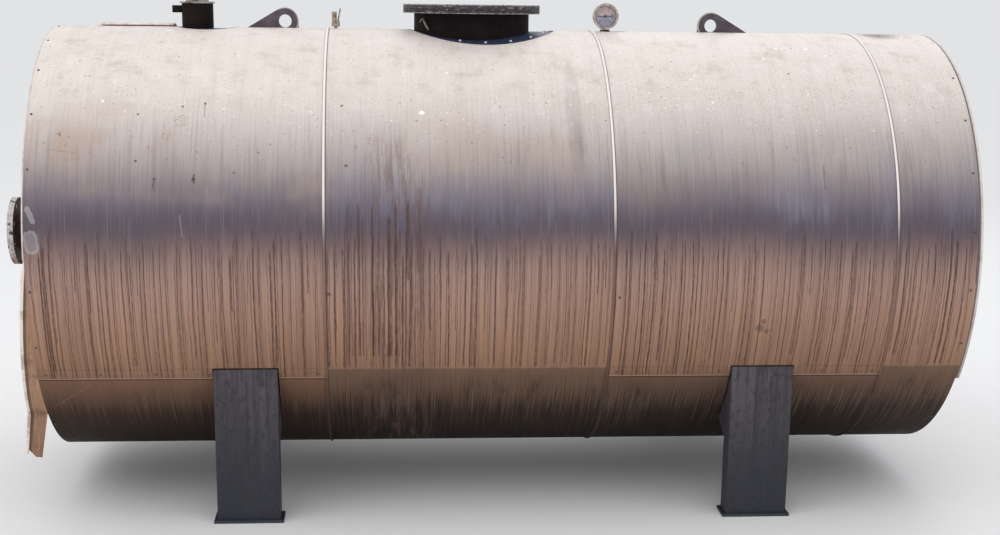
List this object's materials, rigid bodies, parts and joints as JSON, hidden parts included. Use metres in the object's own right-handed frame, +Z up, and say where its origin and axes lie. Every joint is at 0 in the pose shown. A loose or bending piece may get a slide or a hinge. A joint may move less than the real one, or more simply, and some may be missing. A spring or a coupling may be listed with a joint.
{
  "type": "horizontal pressure tank",
  "caption": "Horizontal insulated pressure tank in dented, streaked sheet cladding, with manhole, nozzles, lifting lugs, gauge and channel legs.",
  "frame": {"origin": "on the floor under the feet, at the middle of the whole length and of the width", "axes": "+X along the tank towards the end without a nozzle, +Y to the rear, +Z up; the front is -Y"},
  "size_m": [3.428, 1.5594, 1.784],
  "materials": {
    "vessel_steel": "primed mild steel",
    "mineral_wool": "mineral wool",
    "cladding_1": "weathered sheet",
    "cladding_2": "weathered sheet",
    "cladding_3": "weathered sheet",
    "cladding_4": "weathered sheet",
    "end_sheet": "weathered sheet",
    "rim_sheet": "bright folded edge",
    "loose_strip": "dirty, bent sheet",
    "rusty_pipe": "dark rust",
    "manhole_flange": "weathered primer with rust",
    "manhole_cover": "weathered primer with rust",
    "flashing": "shaded sheet",
    "nozzle_cap": "grey primer",
    "end_flange": "flaking pale paint with rust",
    "lug_steel": "rusty primer",
    "gauge_brass": "dull",
    "gauge_case": "dull black",
    "gauge_bezel": "tarnished",
    "gauge_dial": "faded",
    "gauge_pointer": "black",
    "gauge_glass": "dusty",
    "cock_brass": "dull",
    "cock_lever": "dull steel",
    "leg_paint": "blue-grey paint with streaks"
  },
  "bodies": {
    "root": {"vessel_barrel": "vessel_steel", "vessel_head_left": "vessel_steel", "vessel_head_right": "vessel_steel", "insulation_barrel": "mineral_wool", "cladding_course_1": "cladding_1", "cladding_course_2": "cladding_2", "cladding_course_3": "cladding_3", "cladding_course_4": "cladding_4", "end_cover_left": "end_sheet", "end_cover_right": "end_sheet", "end_rim_left": "rim_sheet", "end_rim_right": "rim_sheet", "loose_rim_strip": "loose_strip", "manhole_neck": "rusty_pipe", "manhole_flange": "manhole_flange", "manhole_cover": "manhole_cover", "manhole_flashing": "flashing", "top_nozzle_neck": "rusty_pipe", "top_nozzle_cap": "nozzle_cap", "top_nozzle_flashing": "flashing", "end_nozzle_neck": "rusty_pipe", "end_nozzle_flange": "end_flange", "lifting_lug_left": "lug_steel", "lifting_lug_right": "lug_steel", "gauge_stem": "gauge_brass", "gauge_case": "gauge_case", "gauge_bezel": "gauge_bezel", "gauge_dial": "gauge_dial", "gauge_pointer": "gauge_pointer", "gauge_glass": "gauge_glass", "vent_cock_body": "cock_brass", "vent_cock_lever": "cock_lever", "leg_front_left": "leg_paint", "leg_front_right": "leg_paint", "leg_rear_left": "leg_paint", "leg_rear_right": "leg_paint"}
  },
  "joints": []
}
